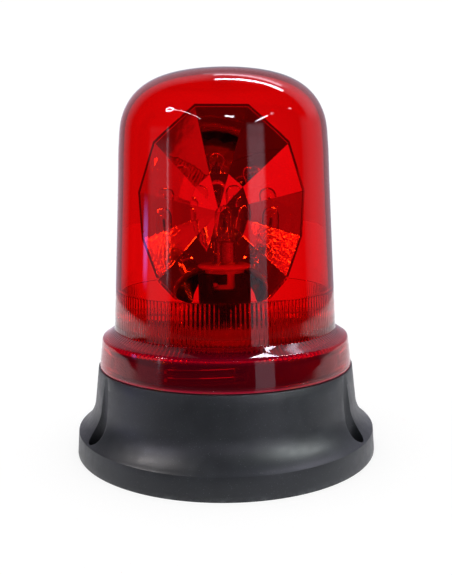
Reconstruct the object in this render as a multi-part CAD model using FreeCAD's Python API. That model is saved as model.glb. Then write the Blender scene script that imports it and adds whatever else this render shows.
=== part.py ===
import FreeCAD, Part
import os, math
from FreeCAD import Vector as V

os.makedirs("parts", exist_ok=True)

# ------------------------------------------------------------------ driving dimensions (mm)
H_TOTAL = 184.0          # overall height
R_RIM = 75.0             # base rim radius at the mounting plane
R_RIM_TOP = 74.2         # rim radius at its upper edge
Z_RIM = 10.6             # height of the rim band
FLARE_R = 20.2           # radius of the concave flare above the rim
R_WALL_LOW, Z_WALL_LOW = 65.5, 25.0
R_WALL_TOP, Z_DECK = 63.56, 42.0   # base wall radius at its top, and the ledge height
WALL = 2.8               # base wall thickness
PCD = 136.8              # mounting screw circle
POCKET_R = 4.9           # screwdriver pocket radius
HOLE_R = 2.75            # mounting hole radius
POCKET_ANGLES = (90.0, 210.0, 330.0)
PILLAR_ANGLES = (30.0, 150.0, 270.0)
PILLAR_PCR = 48.0        # radius of the pillar circle
NECK_RO, NECK_RI, NECK_TOP = 57.0, 54.2, 54.5
LEAD = 20.0              # lens thread lead per turn
RIDGE_H, RIDGE_PITCH = 1.3, 3.6
RIDGE_Z0 = 43.6
SEG_SPAN, SEG_START = 38.0, -120.0
LENS_SPAN = 30.0
COLLAR_RI = 59.9
LENS_T = 2.5             # lens wall
PLATE_Z0, PLATE_Z1 = 44.0, 46.0
COL_RO, COL_RI = 13.2, 10.5
COL_TOP = 87.1
FLANGE_Z0, FLANGE_Z1, FLANGE_R = 89.1, 91.4, 13.5
NOTCH_R, NOTCH_TOP, LAND_DEPTH = 14.8, 94.5, 0.35   # clearance of the reflector round the lamp, depth of the stepped land
GEAR_N, PINION_N, MODULE = 63, 17, 1.0
CENTRE_DIST = 40.0
GEAR_Z0, GEAR_Z1 = 51.5, 57.5
DISC_TOP = 60.5
DISC_R = 41.0
MOTOR_R = 12.0
REFLECTOR_YAW = 5.0      # stored angle of the reflector about the spin axis
REFL_X, REFL_Z = -0.8, 116.4   # place of the optical axis


# ------------------------------------------------------------------ helpers
def save(name, shape):
    if isinstance(shape, (list, tuple)):
        shape = Part.makeCompound(list(shape))
    for s in shape.Solids:
        assert s.isValid() and s.Volume > 0, name
    shape.exportStep("parts/%s.step" % name)
    print(name, len(shape.Solids), round(shape.Volume, 1))
    return shape


def profile_wire(pts):
    """Closed wire in the XZ plane; a point is (r, z) or (r, z, fillet radius)."""
    n = len(pts)
    P = [V(p[0], 0, p[1]) for p in pts]
    F = [p[2] if len(p) > 2 else 0.0 for p in pts]
    start, end, arcs = [], [], []
    for i in range(n):
        a, b, c = P[i - 1], P[i], P[(i + 1) % n]
        if F[i] <= 0:
            start.append(b); end.append(b); arcs.append(None)
            continue
        u = (a - b).normalize(); w = (c - b).normalize()
        ang = u.getAngle(w)
        d = F[i] / math.tan(ang / 2)
        s, e = b + u * d, b + w * d
        bis = (u + w).normalize()
        centre = b + bis * (F[i] / math.sin(ang / 2))
        m = centre - bis * F[i]
        start.append(s); end.append(e); arcs.append(m)
    edges = []
    for i in range(n):
        if arcs[i] is not None:
            edges.append(Part.Arc(start[i], arcs[i], end[i]).toShape())
        nxt = (i + 1) % n
        if (end[i] - start[nxt]).Length > 1e-6:
            edges.append(Part.LineSegment(end[i], start[nxt]).toShape())
    return Part.Wire(edges)


def revolve(pts):
    return Part.Face(profile_wire(pts)).revolve(V(0, 0, 0), V(0, 0, 1), 360)


def solid(s):
    s = s.Solids[0] if s.Solids else s
    return s


def cyl(r, z0, z1, x=0.0, y=0.0):
    return Part.makeCylinder(r, z1 - z0, V(x, y, z0))


def tube(ro, ri, z0, z1, x=0.0, y=0.0):
    return cyl(ro, z0, z1, x, y).cut(cyl(ri, z0 - 1, z1 + 1, x, y))


def box(x0, x1, y0, y1, z0, z1):
    return Part.makeBox(x1 - x0, y1 - y0, z1 - z0, V(x0, y0, z0))


def rotz(s, deg):
    t = s.copy(); t.rotate(V(0, 0, 0), V(0, 0, 1), deg); return t


def moved(s, x=0, y=0, z=0):
    t = s.copy(); t.translate(V(x, y, z)); return t


def polar(r, deg):
    return r * math.cos(math.radians(deg)), r * math.sin(math.radians(deg))


def prism_xz(pts, y0, y1):
    w = Part.makePolygon([V(x, y0, z) for x, z in pts] + [V(pts[0][0], y0, pts[0][1])])
    return Part.Face(w).extrude(V(0, y1 - y0, 0))


def screw(x, y, z_seat, length, head_r, head_h, shank_r, up=True, slot=0.6, cross=True):
    """Pan-head screw: the head sits on z_seat, the shank points down if up, else up."""
    head = revolve([(0, 0), (head_r, 0), (head_r, head_h * 0.55, 0.0), (head_r * 0.72, head_h), (0, head_h)])
    body = head.fuse(Part.makeCylinder(shank_r, length, V(0, 0, -length)))
    cutw = head_r * 0.24
    a = Part.makeBox(head_r * 1.2, cutw, head_h * 0.6, V(-head_r * 0.6, -cutw / 2, head_h * 0.5))
    body = body.cut(a)
    if cross:
        b = Part.makeBox(cutw, head_r * 1.2, head_h * 0.6, V(-cutw / 2, -head_r * 0.6, head_h * 0.5))
        body = body.cut(b)
    if not up:
        body.rotate(V(0, 0, 0), V(1, 0, 0), 180)
    body.translate(V(x, y, z_seat))
    return solid(body.removeSplitter())


def helix_ridge(r0, r1, z0, h, th0, span):
    """A rectangular ridge that climbs LEAD per turn about Z."""
    rm = (r0 + r1) / 2
    hel = Part.makeHelix(LEAD, LEAD * span / 360.0, rm)
    prof = Part.makePolygon([V(r0, 0, 0), V(r1, 0, 0), V(r1, 0, h), V(r0, 0, h), V(r0, 0, 0)])
    s = Part.Wire(hel).makePipeShell([prof], True, True)
    s = moved(rotz(s, th0), 0, 0, z0)
    return solid(s)


def coil(radius, wire, pitch, turns, z0):
    hel = Part.makeHelix(pitch, pitch * turns, radius)
    c = Part.Wire([Part.makeCircle(wire, V(radius, 0, 0), V(0, 1, 0))])
    s = Part.Wire(hel).makePipeShell([c], True, True)
    return moved(solid(s), 0, 0, z0)


def involute_gear(n, m, thin, z0, z1, bore, root_clear=1.25, pts=4):
    rp = n * m / 2.0
    rb = rp * math.cos(math.radians(20))
    ra, rf = rp + m - 0.03, rp - root_clear * m
    def inv(a):
        return math.tan(a) - a
    half = math.pi / (2 * n) - thin / (2 * rp)
    base = half + inv(math.radians(20))
    flank = []
    r_start = max(rb, rf + 0.05)
    for i in range(pts):
        r = r_start + (ra - r_start) * i / (pts - 1)
        a = math.acos(min(1.0, rb / r))
        flank.append((r, base - inv(a)))
    out = []
    for k in range(n):
        c = 2 * math.pi * k / n
        one = [(rf, -flank[0][1] - 0.10 * m / rp)] + [(r, -t) for r, t in flank]
        two = [(r, t) for r, t in reversed(flank)] + [(rf, flank[0][1] + 0.10 * m / rp)]
        for r, t in one + two:
            out.append(V(r * math.cos(c + t), r * math.sin(c + t), z0))
    out.append(out[0])
    f = Part.Face(Part.makePolygon(out))
    g = f.extrude(V(0, 0, z1 - z0))
    return g.cut(cyl(bore, z0 - 1, z1 + 1))


def lead_path(points, radius, r_wire):
    """A wire tube along straight runs joined by tangent arcs."""
    P = [V(*p) for p in points]
    edges, cur = [], P[0]
    for i in range(1, len(P) - 1):
        a, b, c = P[i - 1], P[i], P[i + 1]
        u = (a - b); w = (c - b)
        lu, lw = u.Length, w.Length
        u = u.normalize(); w = w.normalize()
        ang = u.getAngle(w)
        r = min(radius, 0.45 * min(lu, lw) * math.tan(ang / 2))
        d = r / math.tan(ang / 2)
        s, e = b + u * d, b + w * d
        bis = (u + w).normalize()
        mid = b + bis * (r / math.sin(ang / 2) - r)
        edges.append(Part.LineSegment(cur, s).toShape())
        edges.append(Part.Arc(s, mid, e).toShape())
        cur = e
    edges.append(Part.LineSegment(cur, P[-1]).toShape())
    w = Part.Wire(edges)
    t = edges[0].tangentAt(edges[0].FirstParameter)
    c = Part.Wire([Part.makeCircle(r_wire, P[0], t)])
    return solid(w.makePipeShell([c], True, False))


# ------------------------------------------------------------------ base housing
slope = (R_WALL_LOW - R_WALL_TOP) / (Z_DECK - Z_WALL_LOW)
nl = math.hypot(1, slope)
n_out = (1 / nl, slope / nl)
arc_c = (R_WALL_LOW + FLARE_R * n_out[0], Z_WALL_LOW + FLARE_R * n_out[1])


def base_profile(off, z_bottom, z_top):
    """Edges of the bell profile, offset inwards by off, from z_bottom up to z_top."""
    rho = FLARE_R + off
    def rim_r(z):
        return R_RIM - off + (R_RIM_TOP - R_RIM) * z / Z_RIM
    if off == 0:
        z_j = Z_RIM
    else:
        lo, hi = 1.0, Z_RIM + 3
        for _ in range(60):
            z = (lo + hi) / 2
            f = math.hypot(rim_r(z) - arc_c[0], z - arc_c[1]) - rho
            if f > 0: lo = z
            else: hi = z
        z_j = (lo + hi) / 2
    j = V(rim_r(z_j), 0, z_j)
    e = V(arc_c[0] - rho * n_out[0], 0, arc_c[1] - rho * n_out[1])
    a0 = math.atan2(j.z - arc_c[1], j.x - arc_c[0]); a1 = math.atan2(e.z - arc_c[1], e.x - arc_c[0])
    if a0 < 0: a0 += 2 * math.pi
    if a1 < 0: a1 += 2 * math.pi
    am = (a0 + a1) / 2
    m = V(arc_c[0] + rho * math.cos(am), 0, arc_c[1] + rho * math.sin(am))
    top = V(e.x - slope * (z_top - e.z), 0, z_top)
    b = V(rim_r(z_bottom), 0, z_bottom)
    return b, j, m, e, top


def bell(off, z_bottom, z_top):
    b, j, m, e, top = base_profile(off, z_bottom, z_top)
    edges = [Part.LineSegment(V(0, 0, z_bottom), b).toShape(), Part.LineSegment(b, j).toShape(),
             Part.Arc(j, m, e).toShape(), Part.LineSegment(e, top).toShape(),
             Part.LineSegment(top, V(0, 0, z_top)).toShape(), Part.LineSegment(V(0, 0, z_top), V(0, 0, z_bottom)).toShape()]
    return Part.Face(Part.Wire(edges)).revolve(V(0, 0, 0), V(0, 0, 1), 360)


outer = bell(0, 0, Z_DECK)
inner = bell(WALL, -1, Z_DECK - WALL)
housing = outer.cut(inner).cut(cyl(NECK_RI, 30, 60))
# screw bosses: material around each pocket, kept inside the bell, above the gasket
for a in POCKET_ANGLES:
    x, y = polar(PCD / 2, a)
    boss = cyl(POCKET_R + 2.1, 2.0, Z_DECK - WALL / 2, x, y).common(outer)
    housing = housing.fuse(boss)
# neck that carries the lens thread
housing = housing.fuse(tube(NECK_RO, NECK_RI, Z_DECK - WALL, NECK_TOP))
# pillars with webs to the wall
for a in PILLAR_ANGLES:
    x, y = polar(PILLAR_PCR, a)
    web = rotz(box(PILLAR_PCR, 66.0, -1.4, 1.4, 14.0, Z_DECK - WALL / 2), a).common(bell(1.0, 0, Z_DECK))
    housing = housing.fuse(cyl(4.2, 4.5, PLATE_Z0, x, y)).fuse(web)
for a in POCKET_ANGLES:
    x, y = polar(PCD / 2, a)
    housing = housing.cut(cyl(POCKET_R, 6.0, 60.0, x, y).cut(cyl(R_WALL_TOP - 0.2, Z_DECK + 0.01, 70)))
    housing = housing.cut(cyl(HOLE_R, -1, 8, x, y))
for a in PILLAR_ANGLES:
    x, y = polar(PILLAR_PCR, a)
    housing = housing.cut(cyl(1.5, 3.0, 16.0, x, y)).cut(cyl(1.5, 32.0, 50.0, x, y))
# thread ridges, three sectors of three
ridge = None
for s in range(3):
    for k in range(3):
        housing = housing.fuse(helix_ridge(NECK_RO - 0.6, NECK_RO + 2.2, RIDGE_Z0 + k * RIDGE_PITCH, RIDGE_H, SEG_START + 120 * s, SEG_SPAN))
housing = housing.removeSplitter()
save("base_housing", solid(housing))

# ------------------------------------------------------------------ mounting gasket, bottom cover, grommet
g = tube(71.6, 58.0, 0.0, 2.0)
for a in POCKET_ANGLES:
    x, y = polar(PCD / 2, a)
    g = g.cut(cyl(HOLE_R, -1, 3, x, y))
save("mounting_gasket", solid(g))

cover = revolve([(0, 2.0), (60.8, 2.0), (60.8, 4.5, 0.6), (0, 4.5)])
for a in PILLAR_ANGLES:
    x, y = polar(PILLAR_PCR, a)
    cover = cover.cut(cyl(1.8, 0, 6, x, y))
cover = cover.cut(cyl(6.0, 0, 6))
for r in (20.0, 33.0):
    cover = cover.fuse(tube(r + 0.8, r - 0.8, 4.4, 6.0))
save("bottom_cover", solid(cover.removeSplitter()))

save("cable_grommet", solid(revolve([(3.0, 0.6), (8.0, 0.6, 0.5), (8.0, 1.95, 0.3), (6.0, 1.95), (6.0, 4.55), (8.0, 4.55, 0.3), (8.0, 6.0, 0.6), (3.0, 6.0)])))

save("bottom_cover_screws", [screw(*polar(PILLAR_PCR, a), 2.0, 10.0, 3.2, 1.4, 1.45, up=False) for a in PILLAR_ANGLES])

# ------------------------------------------------------------------ chassis plate
MX, MY = 0.0, CENTRE_DIST
plate = cyl(53.8, PLATE_Z0, PLATE_Z1)
plate = plate.cut(cyl(9.0, 40, 50))
plate = plate.cut(cyl(4.1, 40, 50, MX, MY))
for dx in (-8.5, 8.5):
    plate = plate.cut(cyl(1.4, 40, 50, MX + dx, MY))
for a in PILLAR_ANGLES:
    x, y = polar(PILLAR_PCR, a)
    plate = plate.cut(cyl(1.9, 40, 50, x, y))
for a in (0, 120, 240):
    x, y = polar(16.5, a + 60)
    plate = plate.cut(cyl(1.7, 40, 50, x, y))
# wire slots and lightening holes
plate = plate.cut(cyl(4.0, 40, 50, 33.0, -22.0)).cut(cyl(4.0, 40, 50, -33.0, 10.0))
save("chassis_plate", solid(plate))
save("chassis_screws", [screw(*polar(PILLAR_PCR, a), PLATE_Z1, 11.0, 3.3, 2.2, 1.45) for a in PILLAR_ANGLES])

# ------------------------------------------------------------------ lamp column with two J slots
col = revolve([(COL_RI, PLATE_Z1), (19.5, PLATE_Z1), (19.5, 49.0, 0.5), (COL_RO, 49.0), (COL_RO, 60.7), (12.6, 60.7), (12.6, 61.7),
               (COL_RO, 61.7), (COL_RO, COL_TOP, 0.4), (COL_RI, COL_TOP)])
slot = prism_xz([(1.2, 95), (4.9, 95), (4.9, 80.5), (4.2, 79.7), (-4.9, 79.7), (-5.8, 80.5), (-5.8, 83.4), (-3.4, 83.4), (-3.1, 82.4), (1.2, 82.4)], -16, -8.5)
col = col.cut(slot).cut(rotz(slot, 180))
# base ring that seats the contact disc
col = col.fuse(tube(COL_RI + 0.5, 7.5, 46.0, 50.0))
for a in (0, 120, 240):
    x, y = polar(16.5, a + 60)
    col = col.cut(cyl(1.25, 40, 48.4, x, y))
save("lamp_column", solid(col.removeSplitter()))
save("column_screws", [screw(*polar(16.5, a + 60), PLATE_Z0, 4.2, 2.7, 1.8, 1.2, up=False) for a in (0, 120, 240)])

# contact disc and rivets at the foot of the column, spring above them
cd = cyl(10.3, 50.0, 52.0).cut(cyl(1.6, 49, 53, 4.0, 0)).cut(cyl(1.6, 49, 53, -4.0, 0))
save("contact_disc", solid(cd))
riv = [solid(revolve([(0, 48.6), (2.4, 48.6, 0.3), (2.4, 50.0), (1.6, 50.0), (1.6, 52.0), (2.6, 52.0), (2.6, 52.9, 0.5), (0, 53.2)]).translated(V(dx, 0, 0))) for dx in (-4.0, 4.0)]
save("contact_rivets", riv)
spring = coil(8.6, 0.55, 4.72, 4.6, 52.6)
save("lamp_spring", spring)

# ------------------------------------------------------------------ lamp holder, pins, bulb
hold = revolve([(0, 75.0), (9.9, 75.0, 0.4), (9.9, FLANGE_Z0), (FLANGE_R - 0.7, FLANGE_Z0), (FLANGE_R, FLANGE_Z0 + 0.7, 0.3), (FLANGE_R, FLANGE_Z1 - 0.7, 0.9),
                (FLANGE_R - 1.8, FLANGE_Z1, 0.8), (6.9, FLANGE_Z1), (6.9, FLANGE_Z1 - 1.6), (4.0, FLANGE_Z1 - 1.6), (4.0, 84.0), (0, 84.0)])
pins = []
PIN_X, PIN_Z, PIN_R = -4.6, 82.3, 1.0
pin = Part.makeCylinder(PIN_R, 6.0, V(PIN_X, -12.9, PIN_Z), V(0, 1, 0))
pins = [pin, rotz(pin, 180)]
for p in pins:
    hold = hold.cut(p)
for dx in (-2.2, 2.2):
    hold = hold.cut(cyl(0.6, 74, 85, dx, 0))
save("lamp_holder", solid(hold.removeSplitter()))
save("bayonet_pins", pins)
tabs = []
for dx in (-4.0, 4.0):
    tabs.append(box(dx - 1.6, dx + 1.6, -2.2, 2.2, 73.6, 75.0))
save("holder_contacts", tabs)

cap = revolve([(0, FLANGE_Z1 - 1.6), (6.6, FLANGE_Z1 - 1.6), (6.6, 92.6, 0.3), (5.6, 92.6), (5.6, 102.3, 0.4), (4.3, 102.9), (4.3, 103.4), (0, 103.4)])
save("bulb_cap", solid(cap))
GL = 4.75
def capsule(r, z0, z1):
    return cyl(r, z0, z1 - r).fuse(Part.makeSphere(r, V(0, 0, z1 - r)).common(box(-r - 1, r + 1, -r - 1, r + 1, z1 - r, z1 + 1)))
glass = capsule(GL, 103.4, 120.2).fuse(Part.makeCone(1.3, 0.5, 1.2, V(0, 0, 119.7)))
glass = glass.cut(capsule(GL - 0.9, 105.4, 119.3))
save("bulb_glass", solid(glass.removeSplitter()))
fil = coil(0.75, 0.14, 0.55, 7, 110.0)
leads = []
la = lead_path([(2.4, 0, 105.4), (2.4, 0, 112.5), (1.9, 0, 114.6), (0.75, 0.0, 114.3)], 0.6, 0.22)
lb = lead_path([(-2.4, 0, 105.4), (-2.4, 0, 108.2), (-1.4, 0, 109.6), (0.75, 0.0, 109.6)], 0.6, 0.22)
save("bulb_filament", fil)
save("filament_supports", [la, lb])

# ------------------------------------------------------------------ turntable and gear train
washer = tube(17.8, 13.4, 49.0, 49.8)
save("thrust_washer", solid(washer))
save("turntable_bush", solid(tube(15.2, COL_RO + 0.06, 49.9, DISC_TOP)))
disc = revolve([(15.2, 49.9), (18.0, 49.9), (18.0, 58.6), (39.4, 58.6), (39.4, 57.6), (DISC_R, 57.6, 0.4), (DISC_R, DISC_TOP, 0.5), (15.2, DISC_TOP)])
refl_screws_xy = []
for sx in (-1, 1):
    x, y = sx * 31.0, 8.4
    c, s = math.cos(math.radians(REFLECTOR_YAW)), math.sin(math.radians(REFLECTOR_YAW))
    refl_screws_xy.append((x * c - y * s, x * s + y * c))
for x, y in refl_screws_xy:
    disc = disc.cut(cyl(1.3, 58, 62, x, y))
save("turntable_disc", solid(disc))
gear = involute_gear(GEAR_N, MODULE, 0.10, GEAR_Z0, GEAR_Z1, 18.0)
gear = rotz(gear, 90.0)
for k in range(6):
    x, y = polar(24.2, 30 + 60 * k)
    gear = gear.cut(cyl(3.6, 50, 60, x, y))
save("ring_gear", solid(gear))
ring = tube(15.0, 12.66, 60.75, 61.6).cut(box(10, 17, -2.2, 2.2, 60, 62))
for sy in (-1, 1):
    y0, y1 = sorted((sy * 2.2, sy * 4.0))
    ring = ring.fuse(box(13.2, 14.9, y0, y1, 60.75, 63.2).common(tube(15.0, 13.35, 60, 64)))
save("retaining_ring", solid(rotz(ring.removeSplitter(), -78)))
pin_g = involute_gear(PINION_N, MODULE, 0.10, 51.0, 57.2, 1.5)
pin_g = rotz(pin_g, 270.0 + 180.0 / PINION_N)
hub = tube(4.6, 1.5, 48.2, 51.0)
pinion = moved(pin_g.fuse(hub).removeSplitter(), MX, MY + 0.04)
save("drive_pinion", solid(pinion))

# ------------------------------------------------------------------ motor
can = revolve([(4.0, PLATE_Z0), (MOTOR_R, PLATE_Z0, 1.0), (MOTOR_R, 17.0), (11.2, 17.0), (11.2, 43.2), (4.0, 43.2)])
boss = tube(4.0, 1.56, 40.5, 46.6)
can = can.fuse(boss)
for dx in (-8.5, 8.5):
    can = can.cut(cyl(1.05, 42, 50, dx, 0))
save("motor_can", solid(moved(can.removeSplitter(), MX, MY + 0.04)))
cap2 = revolve([(1.56, 14.0), (11.15, 14.0, 0.8), (11.15, 19.2), (8.6, 19.2), (8.6, 16.6), (1.56, 16.6)])
for dx in (-7.0, 7.0):
    cap2 = cap2.cut(box(dx - 0.5, dx + 0.5, -1.6, 1.6, 12, 22))
save("motor_end_cap", solid(moved(cap2, MX, MY + 0.04)))
save("motor_terminals", [moved(box(dx - 0.4, dx + 0.4, -1.5, 1.5, 9.5, 19.0), MX, MY + 0.04) for dx in (-7.0, 7.0)])
save("motor_shaft", solid(moved(cyl(1.5, 14.6, 57.2), MX, MY + 0.04)))
arm = cyl(7.4, 22.5, 38.5).cut(cyl(1.5, 20, 42))
for k in range(3):
    arm = arm.cut(rotz(box(3.6, 8.0, -0.9, 0.9, 20, 42), 120 * k + 20))
save("motor_armature", solid(moved(arm, MX, MY + 0.04)))
com = tube(3.0, 1.5, 17.4, 22.4)
save("motor_commutator", solid(moved(com, MX, MY + 0.04)))
mag = tube(11.1, 8.2, 20.5, 40.5)
m1 = mag.common(rotz(box(0, 12, -7.4, 7.4, 20, 41), 0))
m2 = mag.common(rotz(box(0, 12, -7.4, 7.4, 20, 41), 180))
save("motor_magnets", [moved(solid(m1), MX, MY + 0.04), moved(solid(m2), MX, MY + 0.04)])
save("motor_screws", [screw(MX + dx, MY, PLATE_Z1, 3.0, 2.2, 1.5, 1.0) for dx in (-8.5, 8.5)])

# ------------------------------------------------------------------ terminal block and internal leads
tb = box(-41.0, -23.0, -26.0, -14.0, 31.0, PLATE_Z0)
for cx in (-36.5, -27.5):
    tb = tb.cut(Part.makeCylinder(1.9, 14, V(cx, -27, 35.0), V(0, 1, 0)))
    tb = tb.cut(cyl(2.0, 25.0, 35.0, cx, -20.0))
save("terminal_block", solid(tb))
ts = []
for cx in (-36.5, -27.5):
    s = cyl(1.9, 30.2, 33.0, cx, -20.0).cut(box(cx - 1.9, cx + 1.9, -20.3, -19.7, 30, 31.0))
    ts.append(solid(s))
save("terminal_screws", ts)
W = 0.85
ml = [lead_path([(-36.5, -18.0, 35.0), (-36.5, -6.0, 35.0), (-38.0, 8.0, 24.0), (-26.0, 26.0, 10.5), (-9.0, 37.5, 7.8), (-8.4, 39.9, 11.0)], 6.0, W),
      lead_path([(-27.5, -18.0, 35.0), (-27.5, -8.0, 35.0), (-24.0, 8.0, 22.0), (-4.0, 18.0, 12.0), (8.0, 30.0, 9.0), (8.4, 38.0, 8.0), (8.4, 40.0, 11.5)], 5.0, W)]
save("motor_leads", ml)
ll = [lead_path([(-36.5, -22.0, 35.0), (-36.5, -31.0, 34.0), (-24.0, -36.0, 26.0), (-10.0, -22.0, 28.0), (-4.0, -6.0, 34.0), (-4.0, 0.0, 40.0), (-4.0, 0.0, 48.6)], 5.0, W),
      lead_path([(-27.5, -22.0, 35.0), (-27.5, -30.5, 35.5), (-14.0, -33.0, 34.0), (2.0, -22.0, 34.0), (4.0, -7.0, 36.0), (4.0, 0.0, 41.0), (4.0, 0.0, 48.6)], 5.0, W)]
save("lamp_leads", ll)

# ------------------------------------------------------------------ reflector: faceted bowl, twelve sectors, two rings
# Both rings of corners are the same outline at two scales about the optical axis, so every facet is flat.
Y_RIM, Y_RING, Y_APEX, K_RING = -2.0, 18.0, 24.0, 0.385
HALF = [(12.8, 167.9), (32.5, 150.1), (40.1, 126.75), (38.9, 104.8), (31.8, 84.2), (16.6, 67.0)]
OUTLINE = HALF + [(-x, z) for x, z in reversed(HALF)]
NV = len(OUTLINE)


def ring_pts(k, y):
    return [V(REFL_X + x * k, y, REFL_Z + (z - REFL_Z) * k) for x, z in OUTLINE]


def face(*p):
    return Part.Face(Part.makePolygon(list(p) + [p[0]]))


def as_solid(faces):
    r = Part.Solid(Part.Shell(faces))
    if r.Volume < 0:
        r.reverse()
    return r


f_c, f_i, f_o = V(REFL_X, Y_APEX, REFL_Z), ring_pts(K_RING, Y_RING), ring_pts(1.0, Y_RIM)
l_o, b_i, b_c = ring_pts(1.030, Y_RIM), ring_pts(K_RING + 0.025, Y_RING + 1.2), V(REFL_X, Y_APEX + 1.3, REFL_Z)
faces = []
for k in range(NV):
    n = (k + 1) % NV
    faces += [face(f_c, f_i[k], f_i[n]), face(f_i[k], f_o[k], f_o[n], f_i[n]), face(f_o[k], l_o[k], l_o[n], f_o[n]),
              face(l_o[k], b_i[k], b_i[n], l_o[n]), face(b_c, b_i[k], b_i[n])]
bowl = as_solid(faces)
# the space in front of the mirror faces, used to trim the legs
cf = []
far = [V(p.x, -90, p.z) for p in f_o]
for k in range(NV):
    n = (k + 1) % NV
    cf += [face(f_c, f_i[k], f_i[n]), face(f_i[k], f_o[k], f_o[n], f_i[n]), face(f_o[k], far[k], far[n], f_o[n])]
cf.append(face(*far))
front = as_solid(cf)
reflector = bowl
for sx in (-1, 1):
    leg = prism_xz([(sx * 16.3, DISC_TOP), (sx * 21.5, DISC_TOP), (sx * 22.0, 76.0), (sx * 25.0, 81.0), (sx * 16.0, 81.0)], -2.0, 1.6)
    # gusset behind the leg, sloping down to the back of the foot
    g = Part.Face(Part.makePolygon([V(0, 0, DISC_TOP), V(0, 13.0, DISC_TOP), V(0, 13.0, DISC_TOP + 3.0), V(0, 5.0, 84.0), V(0, 0, 84.0), V(0, 0, DISC_TOP)])).extrude(V(1.6, 0, 0))
    g = moved(g, 20.0 if sx > 0 else -21.6)
    P = [(16.3, -2.0), (21.5, -2.0), (26.0, 3.2), (35.5, 3.2), (38.4, 6.0), (38.4, 11.0), (35.5, 13.6), (16.3, 13.6)]
    pad = Part.Face(Part.makePolygon([V(sx * x, y, DISC_TOP) for x, y in P + P[:1]])).extrude(V(0, 0, 2.2))
    reflector = reflector.fuse(leg.fuse(g).fuse(pad).cut(front))
# shallow stepped land around the lamp opening, the round clearance for the lamp column and its flange, and the splayed foot
land = prism_xz([(0, 110.9), (2.6, 110.4), (4.9, 108.6), (6.3, 105.6), (8.8, 99.6), (11.8, 94.0), (14.2, 89.0), (15.0, 83.0), (15.6, 77.0), (16.0, 60.0),
                 (-16.0, 60.0), (-15.6, 77.0), (-15.0, 83.0), (-14.2, 89.0), (-11.8, 94.0), (-8.8, 99.6), (-6.3, 105.6), (-4.9, 108.6), (-2.6, 110.4)], -60, 60)
splay = prism_xz([(13.6, 79.0), (15.4, 75.5), (16.5, 70.0), (16.5, 60.0), (-16.5, 60.0), (-16.5, 70.0), (-15.4, 75.5), (-13.6, 79.0)], -60, 60)
front_deep = front.copy()
front_deep.translate(V(0, LAND_DEPTH, 0))
reflector = reflector.cut(front_deep.common(land)).cut(splay).cut(cyl(NOTCH_R, 40, NOTCH_TOP))
for sx in (-1, 1):
    reflector = reflector.cut(cyl(1.7, 59, 64, sx * 31.0, 8.4))
reflector = reflector.removeSplitter()
sol = sorted(reflector.Solids, key=lambda q: -q.Volume)
print("reflector solids", [round(q.Volume, 1) for q in sol])
reflector = rotz(sol[0], REFLECTOR_YAW)
save("reflector", reflector)
save("reflector_screws", [screw(x, y, DISC_TOP + 2.2, 4.6, 2.9, 2.0, 1.25) for x, y in refl_screws_xy])

# ------------------------------------------------------------------ lens seal and dome lens
save("lens_seal", solid(revolve([(60.55, 42.05, 0.3), (62.15, 42.05, 0.3), (62.15, 43.7, 0.3), (60.55, 43.7, 0.3)])))

Z_SH, R_SH = 60.45, 55.2       # where the dome meets the collar shoulder
Z_A, R_A = 140.7, 51.1         # where the straight wall ends
K = 3.05
top_pts = []
for i in range(0, 13):
    t = math.radians(7.5 * i)
    x = R_A * (abs(math.cos(t)) ** (2 / K) if i < 12 else 0.0)
    z = Z_A + (H_TOTAL - Z_A) * math.sin(t) ** (2 / K)
    top_pts.append((x, z))
# points of the crown, thinned so that the spline stays smooth
sel = [top_pts[i] for i in (0, 1, 2, 3, 4, 5, 6, 7, 8, 9, 10, 11, 12)]


def crown_curve(pts, start_t):
    b = Part.BSplineCurve()
    b.interpolate(Points=[V(x, 0, z) for x, z in pts], InitialTangent=start_t, FinalTangent=V(-1, 0, 0))
    return b


wall_dir = V(R_A - R_SH, 0, Z_A - Z_SH).normalize()
outer_c = crown_curve(sel, wall_dir)
# inner crown: offset points along the outer curve's normal
inn = []
for i in range(0, 11):
    u = outer_c.FirstParameter + (outer_c.LastParameter - outer_c.FirstParameter) * i / 10.0
    p = outer_c.value(u); t = V(*outer_c.tangent(u)[0]).normalize()
    nrm = V(-t.z, 0, t.x)
    q = p + nrm * LENS_T
    inn.append((q.x, q.z))
inn[-1] = (0.0, H_TOTAL - LENS_T)
inner_c = crown_curve(inn, wall_dir)
p0 = (62.9, 42.45); p1 = (61.25, 56.4)
outer_edges = profile_wire([(0, 40), (p0[0], 40), (61.25, 56.4, 1.6), (R_SH, Z_SH), (R_A, Z_A), (0, Z_A)])  # only used as a shape reference
ri_a = inn[0]
wi = lambda z: R_SH - LENS_T + (ri_a[0] - (R_SH - LENS_T)) * (z - Z_SH) / (ri_a[1] - Z_SH)
BAND_TOP = 79.2
# closed outline of the lens section, collar corner rounded
P = [(60.3, 42.45), (60.3, 43.85), (62.3, 43.85), (62.3, 42.45)]
e = []
def L(a, b):
    e.append(Part.LineSegment(V(a[0], 0, a[1]), V(b[0], 0, b[1])).toShape())
def A(a, m, b):
    e.append(Part.Arc(V(a[0], 0, a[1]), V(m[0], 0, m[1]), V(b[0], 0, b[1])).toShape())
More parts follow.
